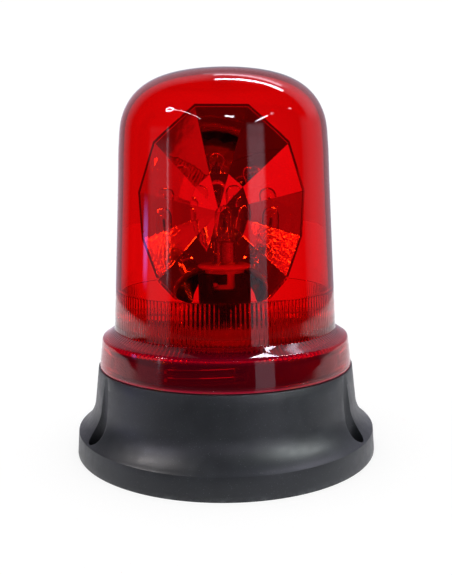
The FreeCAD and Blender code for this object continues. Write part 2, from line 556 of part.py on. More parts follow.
# outer corner fillet between collar wall and shoulder
c0, c1, c2 = V(62.95, 0, 42.45), V(61.25, 0, 56.6), V(R_SH, 0, Z_SH)
u = (c0 - c1).normalize(); w = (c2 - c1).normalize(); ang = u.getAngle(w); FR = 2.2
d = FR / math.tan(ang / 2); s1 = c1 + u * d; s2 = c1 + w * d
bis = (u + w).normalize(); cm = c1 + bis * (FR / math.sin(ang / 2) - FR)
L((62.95, 42.45), (s1.x, s1.z)); A((s1.x, s1.z), (cm.x, cm.z), (s2.x, s2.z)); L((s2.x, s2.z), (R_SH, Z_SH)); L((R_SH, Z_SH), (R_A, Z_A))
e.append(outer_c.toShape())
L((0, H_TOTAL), (0, H_TOTAL - LENS_T))
e.append(inner_c.toShape())
L(ri_a, (wi(BAND_TOP), BAND_TOP)); L((wi(BAND_TOP), BAND_TOP), (wi(BAND_TOP) - 0.55, BAND_TOP)); L((wi(BAND_TOP) - 0.55, BAND_TOP), (R_SH - LENS_T - 0.35, 59.2))
L((R_SH - LENS_T - 0.35, 59.2), (COLLAR_RI, 54.0)); L((COLLAR_RI, 54.0), (COLLAR_RI, 42.45))
L((COLLAR_RI, 42.45), (60.35, 42.45)); L((60.35, 42.45), (60.35, 43.9)); L((60.35, 43.9), (62.3, 43.9)); L((62.3, 43.9), (62.3, 42.45)); L((62.3, 42.45), (62.95, 42.45))
wire = Part.Wire(Part.__sortEdges__(e))
lens = Part.Face(wire).revolve(V(0, 0, 0), V(0, 0, 1), 360)
lens = solid(lens)
for s in range(3):
    for k in range(2):
        z0 = RIDGE_Z0 + (k + 1) * RIDGE_PITCH - 0.35 - RIDGE_H + LEAD * 4.0 / 360.0
        lens = lens.fuse(helix_ridge(COLLAR_RI - 2.1, COLLAR_RI + 0.5, z0, RIDGE_H, SEG_START + 4.0 + 120 * s, LENS_SPAN))
lens = lens.removeSplitter()
save("dome_lens", solid(lens))
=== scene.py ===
import math
import bpy
import bmesh
import numpy as np
from mathutils import Matrix, Vector


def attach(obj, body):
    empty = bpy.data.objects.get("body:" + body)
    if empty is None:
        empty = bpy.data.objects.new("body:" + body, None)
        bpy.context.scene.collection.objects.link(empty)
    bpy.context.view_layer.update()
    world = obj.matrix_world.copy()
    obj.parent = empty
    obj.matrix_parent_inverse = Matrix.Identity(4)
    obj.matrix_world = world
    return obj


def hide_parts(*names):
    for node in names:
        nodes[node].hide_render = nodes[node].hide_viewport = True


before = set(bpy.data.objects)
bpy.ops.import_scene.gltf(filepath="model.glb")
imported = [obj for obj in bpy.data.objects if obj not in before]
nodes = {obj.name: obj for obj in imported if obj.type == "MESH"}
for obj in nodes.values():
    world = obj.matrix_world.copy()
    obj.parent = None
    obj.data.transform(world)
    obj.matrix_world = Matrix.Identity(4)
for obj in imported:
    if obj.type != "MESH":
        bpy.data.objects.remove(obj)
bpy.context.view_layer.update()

MM = 0.001
scene = bpy.context.scene


# ------------------------------------------------------------------ helpers
def link(o):
    scene.collection.objects.link(o)
    return o


def mesh_object(name, verts, faces, smooth=True):
    me = bpy.data.meshes.new(name)
    me.from_pydata([tuple(v) for v in verts], [], [tuple(f) for f in faces])
    me.validate()
    me.update()
    if smooth:
        me.polygons.foreach_set("use_smooth", [True] * len(me.polygons))
    return link(bpy.data.objects.new(name, me))


def sharp_by_angle(o, deg):
    """Marks the edges where two faces meet at more than deg as sharp, so that only the rest is shaded smooth."""
    bm = bmesh.new()
    bm.from_mesh(o.data)
    lim = math.radians(deg)
    for e in bm.edges:
        e.smooth = not (len(e.link_faces) == 2 and e.calc_face_angle(0) > lim)
    bm.to_mesh(o.data)
    bm.free()


def rings_mesh(rings):
    """Faces between rings of points about Z. A ring is (list of points); neighbours may have counts n and k*n."""
    verts, faces, start = [], [], []
    for r in rings:
        start.append(len(verts))
        verts += r
    for i in range(len(rings) - 1):
        a, b = start[i], start[i + 1]
        na, nb = len(rings[i]), len(rings[i + 1])
        if na == nb:
            for k in range(na):
                k1 = (k + 1) % na
                faces.append((a + k, a + k1, b + k1, b + k))
        elif na > nb:
            m = na // nb
            for k in range(nb):
                k1 = (k + 1) % nb
                h = m // 2
                for j in range(m):
                    p, q = k * m + j, (k * m + j + 1) % na
                    apex = b + (k if j < h else k1)
                    faces.append((a + p, a + q, apex))
                faces.append((a + k * m + h, b + k1, b + k))
        else:
            m = nb // na
            for k in range(na):
                k1 = (k + 1) % na
                h = m // 2
                for j in range(m):
                    p, q = k * m + j, (k * m + j + 1) % nb
                    apex = a + (k if j < h else k1)
                    faces.append((apex, b + q, b + p))
                faces.append((a + k, a + k1, b + k * m + h))
    return verts, faces, start


# ------------------------------------------------------------------ materials
def tree(name):
    m = bpy.data.materials.new(name + "_finish")
    m.use_nodes = True
    nt = m.node_tree
    nt.nodes.clear()
    out = nt.nodes.new("ShaderNodeOutputMaterial")
    return m, nt, out


def add(nt, kind, **inputs):
    n = nt.nodes.new(kind)
    for k, v in inputs.items():
        if k.startswith("_"):
            setattr(n, k[1:], v)
        else:
            n.inputs[k.replace("__", " ")].default_value = v
    return n


def noise(nt, coord, scale, detail=3.0, rough=0.5, distortion=0.0):
    n = nt.nodes.new("ShaderNodeTexNoise")
    n.inputs["Scale"].default_value = scale
    n.inputs["Detail"].default_value = detail
    n.inputs["Roughness"].default_value = rough
    n.inputs["Distortion"].default_value = distortion
    nt.links.new(coord, n.inputs["Vector"])
    return n.outputs["Fac"]


def ramp(nt, fac, stops):
    r = nt.nodes.new("ShaderNodeValToRGB")
    e = r.color_ramp.elements
    while len(e) > 1:
        e.remove(e[-1])
    e[0].position = stops[0][0]
    e[0].color = (*stops[0][1], 1.0) if len(stops[0][1]) == 3 else stops[0][1]
    for p, c in stops[1:]:
        x = e.new(p)
        x.color = (*c, 1.0)
    nt.links.new(fac, r.inputs["Fac"])
    return r.outputs["Color"]


def remap(nt, fac, lo, hi, a=0.0, b=1.0):
    n = nt.nodes.new("ShaderNodeMapRange")
    n.inputs["From Min"].default_value = a
    n.inputs["From Max"].default_value = b
    n.inputs["To Min"].default_value = lo
    n.inputs["To Max"].default_value = hi
    nt.links.new(fac, n.inputs["Value"])
    return n.outputs["Result"]


def bump(nt, height, strength, distance, prev=None):
    b = nt.nodes.new("ShaderNodeBump")
    b.inputs["Strength"].default_value = strength
    b.inputs["Distance"].default_value = distance
    nt.links.new(height, b.inputs["Height"])
    if prev is not None:
        nt.links.new(prev, b.inputs["Normal"])
    return b.outputs["Normal"]


def coords(nt, scale=(1, 1, 1)):
    t = nt.nodes.new("ShaderNodeTexCoord")
    m = nt.nodes.new("ShaderNodeMapping")
    m.inputs["Scale"].default_value = scale
    nt.links.new(t.outputs["Object"], m.inputs["Vector"])
    return m.outputs["Vector"]


def plastic(name, base, var=0.12, rough=(0.35, 0.5), grain=9000.0, grain_h=0.00002, grain_s=0.25, ior=1.5, spec=0.5, coat=0.0):
    """Moulded plastic: slight colour variation, uneven gloss and a fine surface texture."""
    m, nt, out = tree(name)
    p = add(nt, "ShaderNodeBsdfPrincipled")
    p.inputs["IOR"].default_value = ior
    p.inputs["Specular IOR Level"].default_value = spec
    p.inputs["Coat Weight"].default_value = coat
    c = coords(nt)
    f = noise(nt, c, 55.0, 4.0)
    dark = tuple(v * (1 - var) for v in base)
    light = tuple(min(1.0, v * (1 + var)) for v in base)
    nt.links.new(ramp(nt, f, [(0.3, dark), (0.7, light)]), p.inputs["Base Color"])
    g = noise(nt, c, 160.0, 5.0, 0.6)
    nt.links.new(remap(nt, g, rough[0], rough[1], 0.3, 0.7), p.inputs["Roughness"])
    h = noise(nt, c, grain, 2.0)
    nt.links.new(bump(nt, h, grain_s, grain_h), p.inputs["Normal"])
    nt.links.new(p.outputs[0], out.inputs["Surface"])
    return m


def metal(name, base, rough=(0.22, 0.4), grain=(1, 1, 1), grain_scale=2500.0, grain_s=0.2, var=0.1, stain=None):
    """Plated or drawn metal: stretched grain, uneven roughness and faint staining."""
    m, nt, out = tree(name)
    p = add(nt, "ShaderNodeBsdfPrincipled")
    p.inputs["Metallic"].default_value = 1.0
    c = coords(nt)
    cg = coords(nt, grain)
    f = noise(nt, c, 90.0, 5.0, 0.6)
    lo = stain or tuple(v * (1 - var) for v in base)
    nt.links.new(ramp(nt, f, [(0.28, lo), (0.62, base)]), p.inputs["Base Color"])
    g = noise(nt, cg, grain_scale * 0.35, 4.0, 0.6)
    nt.links.new(remap(nt, g, rough[0], rough[1], 0.3, 0.7), p.inputs["Roughness"])
    h = noise(nt, cg, grain_scale, 3.0)
    nt.links.new(bump(nt, h, grain_s, 0.00002), p.inputs["Normal"])
    nt.links.new(p.outputs[0], out.inputs["Surface"])
    return m


def rubber(name, base):
    return plastic(name, base, var=0.2, rough=(0.65, 0.85), grain=4000.0, grain_h=0.00004, grain_s=0.4, spec=0.35)


def assign(node, mat):
    o = nodes[node]
    o.data.materials.clear()
    o.data.materials.append(mat)


# ------------------------------------------------------------------ dome lens
def lens_material():
    """Red dyed transparent plastic: the dye absorbs with depth, and lamps reach what is behind."""
    m, nt, out = tree("lens_red_transparent")
    p = add(nt, "ShaderNodeBsdfPrincipled")
    p.inputs["Base Color"].default_value = (1.0, 0.93, 0.93, 1.0)
    p.inputs["Transmission Weight"].default_value = 1.0
    p.inputs["IOR"].default_value = 1.49
    c = coords(nt)
    g = noise(nt, c, 70.0, 4.0, 0.55)
    nt.links.new(remap(nt, g, 0.0, 0.010, 0.45, 0.8), p.inputs["Roughness"])
    h = noise(nt, coords(nt, (1, 1, 0.35)), 28.0, 2.0)
    nt.links.new(bump(nt, h, 0.07, 0.0006), p.inputs["Normal"])
    # painted glow: a faint red emission by height, strongest along the collar's lower edge and at the corner of the
    # shoulder, standing in for light led down inside the collar
    tc_ = nt.nodes.new("ShaderNodeTexCoord")
    sp_ = nt.nodes.new("ShaderNodeSeparateXYZ")
    nt.links.new(tc_.outputs["Object"], sp_.inputs[0])
    painted_glow = ramp(nt, remap(nt, sp_.outputs["Z"], 0.0, 1.0, 0.042, 0.062), [(0.0, (0.15, 0.0, 0.015)), (0.045, (0.12, 0.0, 0.01)), (0.085, (0.020, 0.0, 0.002)), (0.60, (0.016, 0.0, 0.002)), (0.70, (0.05, 0.0, 0.006)), (0.78, (0.03, 0.0, 0.003)), (0.88, (0.008, 0.0, 0.001)), (1.0, (0.0, 0.0, 0.0))])
    nt.links.new(painted_glow, p.inputs["Emission Color"])
    p.inputs["Emission Strength"].default_value = 1.0
    # lamp rays pass straight through, tinted as by one wall
    lp = add(nt, "ShaderNodeLightPath")
    t = add(nt, "ShaderNodeBsdfTransparent")
    t.inputs["Color"].default_value = (0.84, 0.12, 0.14, 1.0)
    mix = add(nt, "ShaderNodeMixShader")
    nt.links.new(lp.outputs["Is Shadow Ray"], mix.inputs[0])
    nt.links.new(p.outputs[0], mix.inputs[1])
    nt.links.new(t.outputs[0], mix.inputs[2])
    nt.links.new(mix.outputs[0], out.inputs["Surface"])
    v = add(nt, "ShaderNodeVolumeAbsorption")
    v.inputs["Color"].default_value = (0.972, 0.005, 0.10, 1.0)
    v.inputs["Density"].default_value = 1200.0
    nt.links.new(v.outputs[0], out.inputs["Volume"])
    return m


def superellipse(r, z0, h, k, n):
    """Points of the crown from its edge to just short of the axis."""
    pts = []
    for i in range(n + 1):
        t = math.pi / 2 * i / n
        x = r * max(0.0, math.cos(t)) ** (2 / k)
        z = z0 + h * math.sin(t) ** (2 / k)
        pts.append((x, z))
    return pts


def offset_profile(pts, d):
    """Moves a profile inwards by d along its normals."""
    out = []
    n = len(pts)
    for i in range(n):
        a = pts[max(0, i - 1)]
        b = pts[min(n - 1, i + 1)]
        tx, tz = b[0] - a[0], b[1] - a[1]
        l = math.hypot(tx, tz)
        nx, nz = -tz / l, tx / l
        out.append((pts[i][0] + nx * d, pts[i][1] + nz * d))
    return out


def ease(pts, z0, z1, w):
    """Rounds off a profile between two heights: each radius becomes the mean over up to w either side of its height."""
    zs = np.array([p[1] for p in pts])
    rs = np.array([p[0] for p in pts])
    out = []
    for r, z in pts:
        if z0 < z < z1:
            k = min(w, z - z0, z1 - z)
            q = np.linspace(z - k, z + k, 41)
            r = float(np.mean(np.interp(q, zs, rs)))
        out.append((r, z))
    return out


def build_lens():
    N_OUT, RIBS, PER = 320, 160, 8
    N_IN = RIBS * PER
    T = 2.5
    # outer profile, from the collar's lower edge to the crown
    prof = [(62.50, 42.45), (62.86, 42.52), (62.93, 42.75), (62.62, 45.3), (62.30, 47.9), (61.96, 50.7), (61.62, 53.4)]
    c0, c1, c2 = Vector((62.95, 42.45)), Vector((61.25, 56.6)), Vector((55.2, 60.45))
    u, w = (c0 - c1).normalized(), (c2 - c1).normalized()
    ang = u.angle(w)
    FR = 2.0
    d = FR / math.tan(ang / 2)
    s1, s2 = c1 + u * d, c1 + w * d
    bis = (u + w).normalized()
    cen = c1 + bis * (FR / math.sin(ang / 2))
    a1 = math.atan2(s1.y - cen.y, s1.x - cen.x)
    a2 = math.atan2(s2.y - cen.y, s2.x - cen.x)
    for i in range(9):
        a = a1 + (a2 - a1) * i / 8
        prof.append((cen.x + FR * math.cos(a), cen.y + FR * math.sin(a)))
    # small hollow fillet where the shoulder meets the wall
    wv = (Vector((51.1, 140.7)) - c2).normalized()
    sv = (s2 - c2).normalized()
    ang = sv.angle(wv)
    fr = 0.8
    d = fr / math.tan(ang / 2)
    p1, p2 = c2 + sv * d, c2 + wv * d
    bis = (sv + wv).normalized()
    cen = c2 + bis * (fr / math.sin(ang / 2))
    a1 = math.atan2(p1.y - cen.y, p1.x - cen.x)
    a2 = math.atan2(p2.y - cen.y, p2.x - cen.x)
    if a2 - a1 > math.pi:
        a2 -= 2 * math.pi
    if a1 - a2 > math.pi:
        a2 += 2 * math.pi
    prof.append(((s2.x + p1.x) / 2, (s2.y + p1.y) / 2))
    for i in range(6):
        a = a1 + (a2 - a1) * i / 5
        prof.append((cen.x + fr * math.cos(a), cen.y + fr * math.sin(a)))
    for i in range(1, 25):
        f = i / 25
        prof.append((p2.x + (51.1 - p2.x) * f, p2.y + (140.7 - p2.y) * f))
    crown = superellipse(51.1, 140.7, 43.3, 3.05, 64)[:-1] + [(2.6, 183.99), (1.0, 184.0)]
    prof += crown
    prof = ease(prof, 118.0, 163.0, 11.0)
    rings = []

    def circle(r, z, n=N_OUT):
        return [(r * MM * math.cos(2 * math.pi * k / n), r * MM * math.sin(2 * math.pi * k / n), z * MM) for k in range(n)]

    for r, z in prof:
        rings.append(circle(r, z))
    # top of the crown; the inner skin's crown is the outer crown offset by the wall thickness
    top_z = 184.0
    inner_crown = offset_profile(ease([(55.2 - 4.1 * (q - 60.45) / 80.25, q) for q in range(100, 140, 2)] + crown, 118.0, 163.0, 11.0), T)
    # inner wall
    def wi(z):
        return 52.7 + (48.62 - 52.7) * (z - 60.45) / (140.7 - 60.45)

    inner = [q for q in inner_crown if q[1] > 108.0 and q[0] > 0.3]
    inner_rows = [(q[0], q[1], None) for q in reversed(inner)]
    zz = 106.0
    while zz > 80.0:
        inner_rows.append((wi(zz), zz, None))
        zz -= 4.2
    # ribbed band: crisp step, then vertical ribs down to the junction and radial flutes on the shoulder
    band = [(wi(79.45), 79.45, None), (wi(79.2) - 0.05, 79.25, None), (0.55, 79.05, "rib0"), (0.60, 78.6, "rib"), (0.60, 76, "rib"), (0.60, 72, "rib"), (0.60, 68, "rib"), (0.60, 64, "rib"), (0.60, 61.2, "rib")]
    rows = []
    for r, z, kind in inner_rows:
        rows.append(circle(r, z))
    for r, z, kind in band:
        if kind is None:
            rows.append(circle(r, z))
        else:
            depth = 0.0 if kind == "rib0" else 0.30 + 0.24 * max(0.0, min(1.0, (72.0 - z) / 8.0))
            base_r = wi(z) - r
            pts = []
            for k in range(N_IN):
                ph = (k % PER) / PER
                # rounded ridge profile, pointed valleys
                prof_h = 0.5 - 0.5 * math.cos(2 * math.pi * ph)
                rr = base_r + 0.5 * depth - depth * prof_h
                th = 2 * math.pi * k / N_IN
                pts.append((rr * MM * math.cos(th), rr * MM * math.sin(th), z * MM))
            rows.append(pts)
    # shoulder flutes
    i0, i1 = (wi(60.4) - 0.6, 59.9), (59.2, 54.75)
    for j, f in enumerate((0.0, 0.12, 0.35, 0.6, 0.85, 1.0)):
        bx, bz = i0[0] + (i1[0] - i0[0]) * f, i0[1] + (i1[1] - i0[1]) * f
        nx, nz = -(i1[1] - i0[1]), (i1[0] - i0[0])
        l = math.hypot(nx, nz)
        nx, nz = -nx / l, -nz / l
        amp = 0.22 * (1.0 if f < 0.5 else 0.6 if f < 0.9 else 0.3)
        pts = []
        for k in range(N_IN):
            ph = (k % PER) / PER
            hgt = amp * (abs(math.sin(math.pi * ph)) ** 0.9 - 0.35)
            rr, zz2 = bx + nx * hgt, bz + nz * hgt
            th = 2 * math.pi * k / N_IN
            pts.append((rr * MM * math.cos(th), rr * MM * math.sin(th), zz2 * MM))
        rows.append(pts)
    # collar bore with the lens's own thread ridges; the rows climb with the thread inside each ridge's span
    N_C = 640
    LEAD, Z0, PITCH, RH = 20.0, 43.6, 3.6, 1.3
    SEG, SPAN, BORE, TIP = -116.0, 30.0, 59.9, 57.85

    def climb(deg):
        a = (deg - SEG) % 120.0
        if a <= SPAN:
            return LEAD * a / 360.0
        top = LEAD * SPAN / 360.0
        return top * max(0.0, 1 - (a - SPAN) / (120.0 - SPAN))

    low = [Z0 + (k + 1) * PITCH - 0.35 - RH + LEAD * 4.0 / 360.0 for k in range(2)]
    levels = [(53.6, 0.0, 0), ]
    for z in reversed(low):
        levels += [(z + RH + 0.06, 1.0, 0), (z + RH, 1.0, 1), (z, 1.0, 1), (z - 0.06, 1.0, 0)]
    levels += [(43.95, 0.0, 0)]
    for z, cl, on in levels:
        pts = []
        for k in range(N_C):
            deg = 360.0 * k / N_C
            a = (deg - SEG) % 120.0
            inside = on and (0.2 < a < SPAN - 0.2)
            r = TIP if inside else BORE
            zq = z + cl * climb(deg)
            th = math.radians(deg)
            pts.append((r * MM * math.cos(th), r * MM * math.sin(th), min(zq, 53.4 if z < 53.5 else 53.6) * MM))
        rows.append(pts)
    # groove for the seal, then the lower edge
    for r, z in ((59.95, 42.75), (60.05, 42.5), (60.30, 42.45), (60.36, 42.55), (60.38, 43.85), (62.2, 43.9), (62.26, 43.8), (62.28, 42.55), (62.34, 42.45)):
        rows.append(circle(r, z))
    v, f, st = rings_mesh(rings)
    n_outer = len(v)
    # close the crown on the outside
    v.append((0, 0, top_z * MM))
    last = st[-1]
    f = [tuple(q) for q in f]
    for k in range(N_OUT):
        f.append((last + k, last + (k + 1) % N_OUT, len(v) - 1))
    base = len(v)
    v2, f2, st2 = rings_mesh(rows)
    v += v2
    f += [tuple(base + i for i in q) for q in f2]
    v.append((0, 0, (top_z - T) * MM))
    for k in range(N_OUT):
        f.append((base + (k + 1) % N_OUT, base + k, len(v) - 1))
    # join the lower edges of the two skins
    lo_in = base + st2[-1]
    for k in range(N_OUT):
        k1 = (k + 1) % N_OUT
        f.append((lo_in + k, lo_in + k1, k1, k))
    o = mesh_object("lens_dome", v, f)
    bm = bmesh.new()
    bm.from_mesh(o.data)
    bmesh.ops.recalc_face_normals(bm, faces=bm.faces)
    open_edges = [e for e in bm.edges if len(e.link_faces) != 2]
    print("lens faces", len(bm.faces), "open edges", len(open_edges), "volume mm3", round(bm.calc_volume() * 1e9, 1))
    bm.to_mesh(o.data)
    bm.free()
    sharp_by_angle(o, 38)
    return o


lens = build_lens()
lens.data.materials.append(lens_material())
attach(lens, "lens")
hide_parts("dome_lens")


# ------------------------------------------------------------------ reflector
def copy_node(name, node):
    """A new object with the node's own mesh, welded, so that its edges can be worked on."""
    src = nodes[node]
    me = src.data.copy()
    me.name = name
    o = link(bpy.data.objects.new(name, me))
    bm = bmesh.new()
    bm.from_mesh(me)
    bmesh.ops.remove_doubles(bm, verts=bm.verts, dist=2e-6)
    bm.to_mesh(me)
    bm.free()
    me.materials.clear()
    if me.has_custom_normals:
        for a in ("custom_normal",):
            if a in me.attributes:
                me.attributes.remove(me.attributes[a])
    return o


def refine(name, node, width, segments=2, flat_deg=0.6, bevel_deg=12.0, smooth_deg=30.0, least=0.0, clamp=True):
    """The node's shape with real rounded edges: flats are joined into single faces and every crease gets a small round."""
    o = copy_node(name, node)
    bm = bmesh.new()
    bm.from_mesh(o.data)
    bmesh.ops.dissolve_limit(bm, angle_limit=math.radians(flat_deg), verts=bm.verts, edges=bm.edges)
    edges = [
        e for e in bm.edges
        if len(e.link_faces) == 2 and e.calc_face_angle(0) > math.radians(bevel_deg)
        and (least == 0.0 or (e.calc_length() > 0.0022 and min(q.calc_area() for q in e.link_faces) > least))
    ]
    bmesh.ops.bevel(bm, geom=edges, offset=width, offset_type="OFFSET", segments=segments, profile=0.5, affect="EDGES", clamp_overlap=clamp)
    bm.to_mesh(o.data)
    bm.free()
    o.data.polygons.foreach_set("use_smooth", [True] * len(o.data.polygons))
    sharp_by_angle(o, smooth_deg)
    return o


def mirror_material():
    """Vacuum-metallised plastic: nearly a mirror, with a faint orange-peel wave, drifting haze and fine dust specks."""
    m, nt, out = tree("reflector_mirror")
    p = add(nt, "ShaderNodeBsdfPrincipled")
    p.inputs["Metallic"].default_value = 1.0
    c = coords(nt)
    f = noise(nt, c, 38.0, 4.0, 0.6)
    nt.links.new(ramp(nt, f, [(0.3, (0.84, 0.85, 0.86)), (0.7, (0.93, 0.935, 0.94))]), p.inputs["Base Color"])
    g = noise(nt, c, 210.0, 5.0, 0.65)
    nt.links.new(remap(nt, g, 0.015, 0.085, 0.4, 0.8), p.inputs["Roughness"])
    w = noise(nt, c, 95.0, 2.0, 0.5)
    n1 = bump(nt, w, 0.16, 0.0004)
    w2 = noise(nt, c, 700.0, 2.0, 0.5)
    n2 = bump(nt, w2, 0.05, 0.00006, n1)
    # the two lower side facets are crazed: fine pebbled cells, told from their neighbours by their slope
    on_ = nt.nodes.new("ShaderNodeTexCoord")
    sn_ = nt.nodes.new("ShaderNodeSeparateXYZ")
    nt.links.new(on_.outputs["Normal"], sn_.inputs[0])
    zz_ = ramp(nt, sn_.outputs["Z"], [(0.10, (0, 0, 0)), (0.14, (1, 1, 1)), (0.235, (1, 1, 1)), (0.26, (0, 0, 0))])
    sp_ = nt.nodes.new("ShaderNodeSeparateXYZ")
    nt.links.new(c, sp_.inputs[0])
    ab_ = add(nt, "ShaderNodeMath", _operation="ABSOLUTE")
    nt.links.new(sp_.outputs["X"], ab_.inputs[0])
    xx_ = remap(nt, ab_.outputs[0], 0.12, 1.0, 0.014, 0.024)
    mk_ = add(nt, "ShaderNodeMath", _operation="MULTIPLY")
    nt.links.new(zz_, mk_.inputs[0])
    nt.links.new(xx_, mk_.inputs[1])
    cell = noise(nt, c, 780.0, 2.0, 0.55)
    hm_ = add(nt, "ShaderNodeMath", _operation="MULTIPLY")
    nt.links.new(mk_.outputs[0], hm_.inputs[0])
    nt.links.new(cell, hm_.inputs[1])
    nt.links.new(bump(nt, hm_.outputs[0], 0.6, 0.00025, n2), p.inputs["Normal"])
    nt.links.new(p.outputs[0], out.inputs["Surface"])
    return m


def strips_smooth(o, big, deg=40.0):
    """Flat facets keep crisp borders while the narrow rounds between them are shaded smooth."""
    bm = bmesh.new()
    bm.from_mesh(o.data)
    lim = math.radians(deg)
    for e in bm.edges:
        if len(e.link_faces) != 2:
            e.smooth = False
            continue
        a = max(q.calc_area() for q in e.link_faces)
        e.smooth = not (a > big or e.calc_face_angle(0) > lim)
    bm.to_mesh(o.data)
    bm.free()


mirror = mirror_material()
refl = refine("reflector_body", "reflector", 0.00019, 3, 0.3, 3.0, 2.0, 8e-6, False)
strips_smooth(refl, 6e-6)
refl.data.materials.append(mirror)
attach(refl, "turntable")
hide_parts("reflector")


# ------------------------------------------------------------------ finishes of the CAD nodes
def base_plastic():
    """Black glass-filled nylon: fine spark-eroded grain, a few pale specks, uneven sheen and slightly rubbed edges."""
    m, nt, out = tree("base_black")
    p = add(nt, "ShaderNodeBsdfPrincipled")
    p.inputs["IOR"].default_value = 1.52
    c = coords(nt)
    f = noise(nt, c, 60.0, 5.0, 0.6)
    col = ramp(nt, f, [(0.3, (0.0068, 0.0078, 0.0105)), (0.7, (0.012, 0.0138, 0.0175))])
    # pale specks of filler and dust
    s = noise(nt, c, 2600.0, 1.0, 0.4)
    sp = ramp(nt, s, [(0.70, (0, 0, 0)), (0.78, (1, 1, 1))])
    mx = add(nt, "ShaderNodeMix", _data_type="RGBA")
    nt.links.new(sp, mx.inputs[0])
    nt.links.new(col, mx.inputs[6])
    mx.inputs[7].default_value = (0.075, 0.082, 0.09, 1)
    # rubbed foot and brim: paler in broken patches on the lowest two millimetres
    sz = nt.nodes.new("ShaderNodeSeparateXYZ")
    nt.links.new(c, sz.inputs[0])
    foot = remap(nt, sz.outputs["Z"], 0.7, 0.0, 0.0004, 0.0022)
    rub = remap(nt, noise(nt, c, 420.0, 4.0, 0.6), 0.0, 1.0, 0.46, 0.62)
    em = add(nt, "ShaderNodeMath", _operation="MULTIPLY")
    nt.links.new(foot, em.inputs[0])
    nt.links.new(rub, em.inputs[1])
    e = em.outputs[0]
    mx2 = add(nt, "ShaderNodeMix", _data_type="RGBA")
    nt.links.new(e, mx2.inputs[0])
    nt.links.new(mx.outputs[2], mx2.inputs[6])
    mx2.inputs[7].default_value = (0.05, 0.055, 0.06, 1)
    nt.links.new(mx2.outputs[2], p.inputs["Base Color"])
    g = noise(nt, c, 240.0, 5.0, 0.6)
    nt.links.new(remap(nt, g, 0.34, 0.47, 0.3, 0.7), p.inputs["Roughness"])
    h = noise(nt, c, 3800.0, 3.0, 0.6)
    nt.links.new(bump(nt, h, 0.32, 0.00004), p.inputs["Normal"])
    nt.links.new(p.outputs[0], out.inputs["Surface"])
    return m


def glass_material(name, tint=(1, 1, 1)):
    m, nt, out = tree(name)
    p = add(nt, "ShaderNodeBsdfPrincipled")
    p.inputs["Base Color"].default_value = (*tint, 1)
    p.inputs["Transmission Weight"].default_value = 1.0
    p.inputs["IOR"].default_value = 1.5
    c = coords(nt)
    g = noise(nt, c, 300.0, 3.0)
    nt.links.new(remap(nt, g, 0.0, 0.03, 0.4, 0.7), p.inputs["Roughness"])
    h = noise(nt, c, 180.0, 2.0)
    nt.links.new(bump(nt, h, 0.1, 0.0002), p.inputs["Normal"])
    lp = add(nt, "ShaderNodeLightPath")
    t = add(nt, "ShaderNodeBsdfTransparent")
    mix = add(nt, "ShaderNodeMixShader")
    nt.links.new(lp.outputs["Is Shadow Ray"], mix.inputs[0])
    nt.links.new(p.outputs[0], mix.inputs[1])
    nt.links.new(t.outputs[0], mix.inputs[2])
    nt.links.new(mix.outputs[0], out.inputs["Surface"])
    return m


def build_bulb():
    """Thin blown envelope with a pressed glass stem that holds the filament supports."""
    outer = [(4.18, 103.42), (4.32, 103.55), (4.46, 103.9), (4.60, 104.5), (4.70, 105.3), (4.75, 106.3), (4.75, 108.0), (4.75, 110.5), (4.75, 113.0), (4.75, 115.3)]
    for i in range(1, 15):
        a = math.pi / 2 * i / 15
        outer.append((4.75 * math.cos(a), 115.45 + 4.7 * math.sin(a)))
    outer += [(0.34, 120.22), (0.16, 120.42)]
    inner = []
    for i in range(1, 15):
        a = math.pi / 2 * (1 - i / 15)
        inner.append((4.32 * math.cos(a), 115.45 + 4.28 * math.sin(a)))
    inner += [(4.32, 115.3), (4.32, 113.0), (4.32, 110.5), (4.32, 108.0), (4.30, 106.3), (4.22, 105.2), (4.02, 104.5), (3.75, 104.2), (3.45, 104.35), (3.25, 104.9), (3.15, 105.6),
              (2.95, 106.15), (2.5, 106.35), (1.4, 106.45), (0.5, 106.45)]
    n = 72

    def ring(r, z):
        return [(r * MM * math.cos(2 * math.pi * k / n), r * MM * math.sin(2 * math.pi * k / n), z * MM) for k in range(n)]

    v, f, st = rings_mesh([ring(r, z) for r, z in outer])
    f = [tuple(q) for q in f]
    v.append((0, 0, 120.5 * MM))
    for k in range(n):
        f.append((st[-1] + k, st[-1] + (k + 1) % n, len(v) - 1))
    # underside, closed on the axis
    v.append((0, 0, 103.42 * MM))
    for k in range(n):
        f.append(((k + 1) % n, k, len(v) - 1))
    b = len(v)
    v2, f2, st2 = rings_mesh([ring(r, z) for r, z in inner])
    v += v2
    f += [tuple(b + i for i in q) for q in f2]
    v.append((0, 0, (115.45 + 4.28) * MM))
    for k in range(n):
        f.append((b + (k + 1) % n, b + k, len(v) - 1))
    v.append((0, 0, 106.45 * MM))
    last = b + st2[-1]
    for k in range(n):
        f.append((last + k, last + (k + 1) % n, len(v) - 1))
    o = mesh_object("bulb_envelope", v, f)
    bm = bmesh.new()
    bm.from_mesh(o.data)
    bmesh.ops.recalc_face_normals(bm, faces=bm.faces)
    bm.verts.ensure_lookup_table()
    bm.faces.ensure_lookup_table()
    for fc in bm.faces:
        # the cavity faces inwards
        if all(q.index >= b for q in fc.verts):
            fc.normal_flip()
    print("bulb open edges", len([e for e in bm.edges if len(e.link_faces) != 2]), "volume", round(bm.calc_volume() * 1e9, 1))
    bm.to_mesh(o.data)
    bm.free()
    sharp_by_angle(o, 50)
    return o


